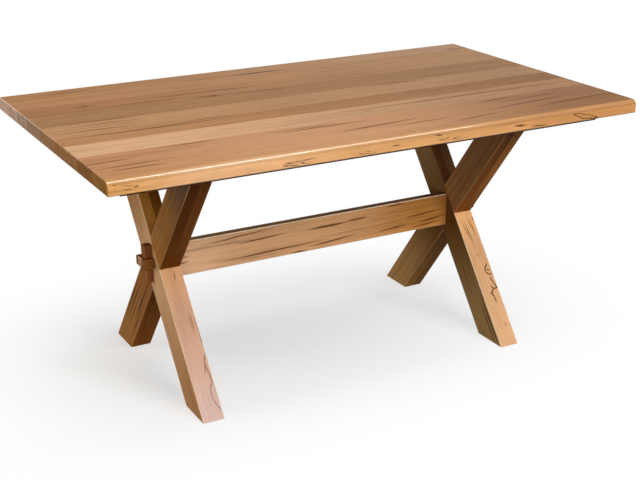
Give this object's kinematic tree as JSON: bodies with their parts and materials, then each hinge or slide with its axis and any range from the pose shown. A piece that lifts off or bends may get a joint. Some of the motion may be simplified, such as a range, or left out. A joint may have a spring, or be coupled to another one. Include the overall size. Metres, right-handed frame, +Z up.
{
  "type": "sawbuck table",
  "caption": "Rectangular dining table of spalted maple: thick glued-up plank top on crossed half-lapped legs, tied by a low stretcher with through tenons and lift-out tapered keys.",
  "frame": {"origin": "on the floor, under the middle of the top", "axes": "+X along the length of the top to the right-hand X-frame, +Y from the front edge to the back edge, +Z up"},
  "size_m": [1.59, 0.936, 0.762],
  "materials": {
    "top_maple": "satin clear finish on spalted maple, grain along X",
    "subframe_maple": "satin clear finish on plain maple",
    "leg_maple": "satin clear finish on spalted maple, grain along the leg",
    "stretcher_maple": "satin clear finish on spalted maple, grain along X",
    "tenon_maple": "satin clear finish on brown maple, end grain outwards",
    "key_maple": "satin clear finish on brown maple, grain upright",
    "zinc_steel": "zinc plated"
  },
  "bodies": {
    "table": {"top_board_1": "top_maple", "top_board_2": "top_maple", "top_board_3": "top_maple", "top_board_4": "top_maple", "top_board_5": "top_maple", "top_board_6": "top_maple", "top_board_7": "top_maple", "top_board_8": "top_maple", "top_board_9": "top_maple", "front_rail": "subframe_maple", "back_rail": "subframe_maple", "left_end_rail": "subframe_maple", "right_end_rail": "subframe_maple", "left_cleat": "subframe_maple", "right_cleat": "subframe_maple", "left_front_leg_through_layer": "leg_maple", "left_front_leg_foot_layer": "leg_maple", "left_front_leg_head_layer": "leg_maple", "left_back_leg_through_layer": "leg_maple", "left_back_leg_foot_layer": "leg_maple", "left_back_leg_head_layer": "leg_maple", "right_front_leg_through_layer": "leg_maple", "right_front_leg_foot_layer": "leg_maple", "right_front_leg_head_layer": "leg_maple", "right_back_leg_through_layer": "leg_maple", "right_back_leg_foot_layer": "leg_maple", "right_back_leg_head_layer": "leg_maple", "stretcher": "stretcher_maple", "left_front_tenon_cheek": "tenon_maple", "left_back_tenon_cheek": "tenon_maple", "right_front_tenon_cheek": "tenon_maple", "right_back_tenon_cheek": "tenon_maple", "top_screws": "zinc_steel", "leg_lag_screws": "zinc_steel", "lag_washers": "zinc_steel"},
    "left_key": {"left_key": "key_maple"},
    "right_key": {"right_key": "key_maple"}
  },
  "joints": [
    {"name": "left_key_lift", "type": "slide", "parent": "table", "child": "left_key", "axis": [0, 0, 1], "range_m": [0, 0.085]},
    {"name": "right_key_lift", "type": "slide", "parent": "table", "child": "right_key", "axis": [0, 0, 1], "range_m": [0, 0.085]}
  ]
}
